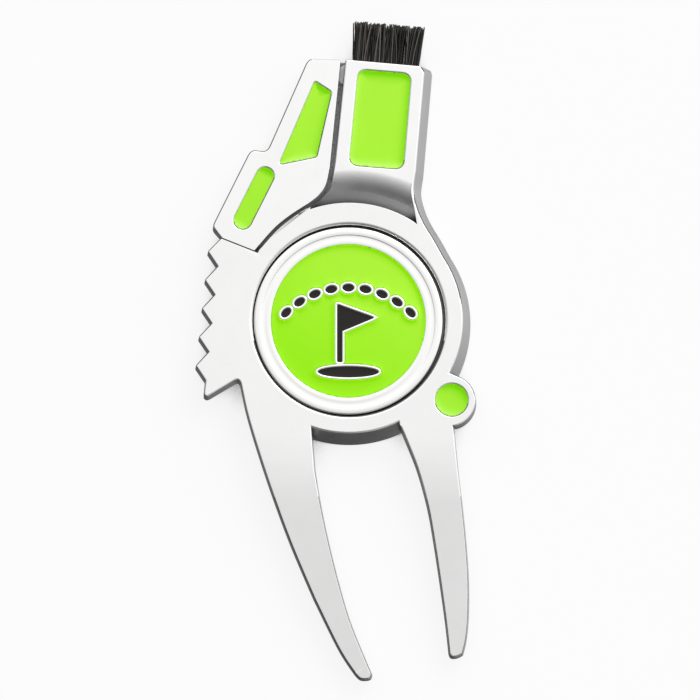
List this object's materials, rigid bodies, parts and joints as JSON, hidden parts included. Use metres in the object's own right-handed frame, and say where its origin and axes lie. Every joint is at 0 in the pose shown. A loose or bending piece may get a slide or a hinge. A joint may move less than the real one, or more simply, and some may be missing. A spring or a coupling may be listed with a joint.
{
  "type": "divot repair tool",
  "caption": "Golf divot repair tool with a two-prong fork, a groove-cleaning tooth row, a swing-out arm, a lift-off magnetic ball marker and a small brush.",
  "frame": {"origin": "on the axis of the round hub, on the flat back", "axes": "+Y along the tool from the prongs towards the brush, +Z out of the face, +X to the right seen from the face"},
  "size_m": [0.0376, 0.0891, 0.005],
  "materials": {
    "satin_casting": "satin nickel plate on a zinc die casting, fine bead-blasted grain",
    "satin_arm": "satin nickel plate on a zinc die casting, fine bead-blasted grain",
    "plain_steel": "plain steel, lightly oiled",
    "polished_marker": "polished nickel plate on a stamped iron disc",
    "magnet_plating": "nickel plated magnet",
    "green_fill": "glossy lime green resin fill, dished between its walls",
    "green_enamel": "glossy lime green soft enamel",
    "dark_enamel": "glossy black soft enamel",
    "brush_block": "black moulded nylon",
    "nylon_bristle": "black nylon filament"
  },
  "bodies": {
    "body": {"body_casting": "satin_casting", "housing_inset": "green_fill", "ear_inset": "green_fill", "marker_magnet": "magnet_plating", "brush_block": "brush_block", "brush_tuft_1": "nylon_bristle", "brush_tuft_2": "nylon_bristle", "brush_tuft_3": "nylon_bristle", "brush_tuft_4": "nylon_bristle", "brush_tuft_5": "nylon_bristle", "brush_tuft_6": "nylon_bristle", "brush_tuft_7": "nylon_bristle", "brush_tuft_8": "nylon_bristle", "tuft_anchor_1": "plain_steel", "tuft_anchor_2": "plain_steel", "tuft_anchor_3": "plain_steel", "tuft_anchor_4": "plain_steel", "tuft_anchor_5": "plain_steel", "tuft_anchor_6": "plain_steel", "tuft_anchor_7": "plain_steel", "tuft_anchor_8": "plain_steel"},
    "arm": {"swing_arm": "satin_arm", "arm_rivet": "plain_steel", "arm_spring_washer": "plain_steel", "arm_upper_inset": "green_fill", "arm_lower_inset": "green_fill"},
    "marker": {"marker_disc": "polished_marker", "marker_enamel": "green_enamel", "marker_flag_fill": "dark_enamel", "marker_mound_fill": "dark_enamel", "marker_bead_fill_1": "dark_enamel", "marker_bead_fill_2": "dark_enamel", "marker_bead_fill_3": "dark_enamel", "marker_bead_fill_4": "dark_enamel", "marker_bead_fill_5": "dark_enamel", "marker_bead_fill_6": "dark_enamel", "marker_bead_fill_7": "dark_enamel", "marker_bead_fill_8": "dark_enamel", "marker_bead_fill_9": "dark_enamel"}
  },
  "joints": [
    {"name": "arm_swing", "type": "hinge", "parent": "body", "child": "arm", "pos_m": [-0.0036, 0.03385, 0.003], "axis": [0, 0, -1], "range_deg": [0, 90]},
    {"name": "marker_lift", "type": "slide", "parent": "body", "child": "marker", "axis": [0, 0, 1], "range_m": [0, 0.008]}
  ]
}
